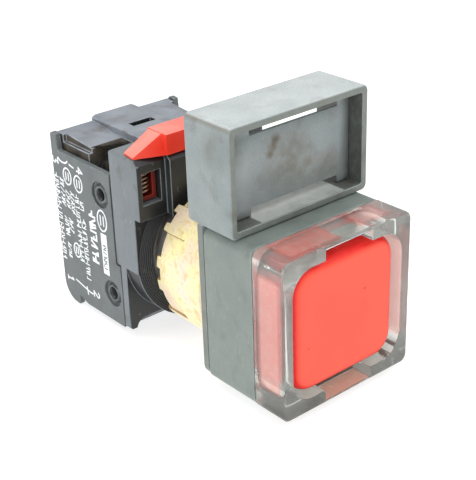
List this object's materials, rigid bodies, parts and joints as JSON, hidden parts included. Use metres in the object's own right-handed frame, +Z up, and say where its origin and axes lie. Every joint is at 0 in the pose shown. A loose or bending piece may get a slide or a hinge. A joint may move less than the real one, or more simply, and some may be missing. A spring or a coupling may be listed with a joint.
{
  "type": "industrial push button",
  "caption": "Square-headed panel push button with clear guard, legend holder above the head, latch-on mounting adaptor and contact block behind the panel.",
  "frame": {"origin": "on the button's axis, in the plane of the legend plate's rear face", "axes": "+X to the right of a person facing the button, +Y back through the panel, away from that person, +Z up towards the legend holder"},
  "size_m": [0.0314, 0.0667, 0.0516],
  "materials": {
    "grey_plastic": "moulded satin grey",
    "legend_grey": "moulded satin grey, stained",
    "clear_plastic": "clear acrylic, polished",
    "red_plastic": "coral red, satin face",
    "latch_red": "moulded red",
    "black_plastic": "moulded black, slightly dusty",
    "dark_plastic": "moulded dark grey",
    "cover_plastic": "moulded dark grey with white marks",
    "white_plastic": "natural nylon",
    "rubber": "matt black",
    "yellow_zinc": "yellow passivated zinc plate",
    "barrel_metal": "die-cast, turned thread",
    "steel": "zinc plated",
    "screw_steel": "zinc plated",
    "spring_steel": "spring wire",
    "copper": "copper-coloured spring wire",
    "brass": "bright brass"
  },
  "bodies": {
    "fixed": {"head_housing": "grey_plastic", "clear_guard": "clear_plastic", "threaded_barrel": "barrel_metal", "stem_seal": "rubber", "panel_seal": "rubber", "legend_holder": "legend_grey", "mounting_adaptor": "black_plastic", "latch_spring": "copper", "button_spring": "spring_steel", "plunger_spring": "spring_steel", "contact_housing": "dark_plastic", "left_cover": "cover_plastic", "right_cover": "cover_plastic", "upper_rivet": "steel", "lower_rivet": "steel", "upper_block_screw": "steel", "lower_block_screw": "steel", "no_strip_upper": "brass", "no_strip_lower": "brass", "no_screw_upper": "screw_steel", "no_screw_lower": "screw_steel", "no_clamp_upper": "screw_steel", "no_clamp_lower": "screw_steel", "nc_strip_upper": "brass", "nc_strip_lower": "brass", "nc_screw_upper": "screw_steel", "nc_screw_lower": "screw_steel", "nc_clamp_upper": "screw_steel", "nc_clamp_lower": "screw_steel"},
    "button": {"button_cap": "red_plastic", "button_carrier": "dark_plastic", "stem_clip": "steel"},
    "contacts": {"contact_plunger": "white_plastic", "no_bridge": "brass", "nc_bridge": "brass", "no_bridge_spring": "spring_steel", "nc_bridge_spring": "spring_steel"},
    "latch": {"latch_lever": "latch_red"},
    "nut": {"fixing_nut": "yellow_zinc"}
  },
  "joints": [
    {"name": "button_press", "type": "slide", "parent": "fixed", "child": "button", "axis": [0, 1, 0], "range_m": [0, 0.005], "stiffness_N_per_m": 700, "springref_m": -0.004, "deforming": ["button_spring"]},
    {"name": "contact_travel", "type": "slide", "parent": "fixed", "child": "contacts", "axis": [0, 1, 0], "range_m": [0, 0.005], "deforming": ["plunger_spring"]},
    {"name": "latch_lift", "type": "slide", "parent": "fixed", "child": "latch", "axis": [0, 0, 1], "range_m": [0, 0.002], "stiffness_N_per_m": 500, "springref_m": -0.004, "deforming": ["latch_spring"]},
    {"name": "nut_turn", "type": "hinge", "parent": "fixed", "child": "nut", "pos_m": [0, 0.007, 0], "axis": [0, 1, 0], "continuous": true}
  ],
  "couplings": [
    {"joint": "contact_travel", "follows": "button_press", "ratio": 1}
  ]
}
